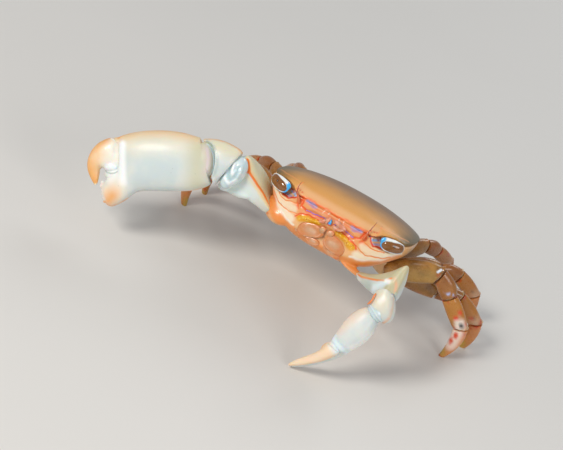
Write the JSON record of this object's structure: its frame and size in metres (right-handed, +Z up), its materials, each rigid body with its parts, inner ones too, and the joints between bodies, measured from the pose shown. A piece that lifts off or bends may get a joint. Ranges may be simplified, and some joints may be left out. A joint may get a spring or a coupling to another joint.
{
  "type": "red-fingered coral crab",
  "caption": "Small coral crab with a smooth round shield, one large claw held out to the side and one slim claw, as a still life-size model standing on its walking legs.",
  "frame": {"origin": "on the floor below the middle of the crab's box", "axes": "+X to the crab's left, across body and large claw; +Y to its rear; +Z up"},
  "size_m": [0.0313, 0.0223, 0.0102],
  "materials": {
    "shell_carapace": "smooth orange-tan shell, olive towards the rear, soft gloss",
    "shell_underside": "cream shell of the face, flanks and tail flap",
    "claw_cream": "very smooth blue-white to cream shell",
    "finger_orange": "peach to orange shell with a pale tip",
    "leg_amber": "translucent amber-brown shell",
    "eye_brown": "wet, dark brown cornea",
    "eyestalk_blue": "bright blue rim",
    "feeler_red": "red-brown feelers",
    "mouthpart_pink": "pink, translucent mouth plates"
  },
  "bodies": {
    "root": {"abdomen": "shell_underside", "antenna_left": "feeler_red", "antenna_right": "feeler_red", "antennule_left": "feeler_red", "antennule_right": "feeler_red", "carapace": "shell_carapace", "claw_left_carpus": "claw_cream", "claw_left_finger": "finger_orange", "claw_left_merus": "claw_cream", "claw_left_palm": "claw_cream", "claw_right_carpus": "claw_cream", "claw_right_finger": "finger_orange", "claw_right_merus": "claw_cream", "claw_right_palm": "claw_cream", "eye_left": "eye_brown", "eye_right": "eye_brown", "eyestalk_left": "eyestalk_blue", "eyestalk_right": "eyestalk_blue", "leg_left_1_carpus": "leg_amber", "leg_left_1_dactylus": "leg_amber", "leg_left_1_merus": "leg_amber", "leg_left_1_propodus": "leg_amber", "leg_left_2_carpus": "leg_amber", "leg_left_2_dactylus": "leg_amber", "leg_left_2_merus": "leg_amber", "leg_left_2_propodus": "leg_amber", "leg_left_3_carpus": "leg_amber", "leg_left_3_dactylus": "leg_amber", "leg_left_3_merus": "leg_amber", "leg_left_3_propodus": "leg_amber", "leg_left_4_carpus": "leg_amber", "leg_left_4_dactylus": "leg_amber", "leg_left_4_merus": "leg_amber", "leg_left_4_propodus": "leg_amber", "leg_right_1_carpus": "leg_amber", "leg_right_1_dactylus": "leg_amber", "leg_right_1_merus": "leg_amber", "leg_right_1_propodus": "leg_amber", "leg_right_2_carpus": "leg_amber", "leg_right_2_dactylus": "leg_amber", "leg_right_2_merus": "leg_amber", "leg_right_2_propodus": "leg_amber", "leg_right_3_carpus": "leg_amber", "leg_right_3_dactylus": "leg_amber", "leg_right_3_merus": "leg_amber", "leg_right_3_propodus": "leg_amber", "leg_right_4_carpus": "leg_amber", "leg_right_4_dactylus": "leg_amber", "leg_right_4_merus": "leg_amber", "leg_right_4_propodus": "leg_amber", "maxilliped_left": "mouthpart_pink", "maxilliped_right": "mouthpart_pink", "underside": "shell_underside"}
  },
  "joints": []
}
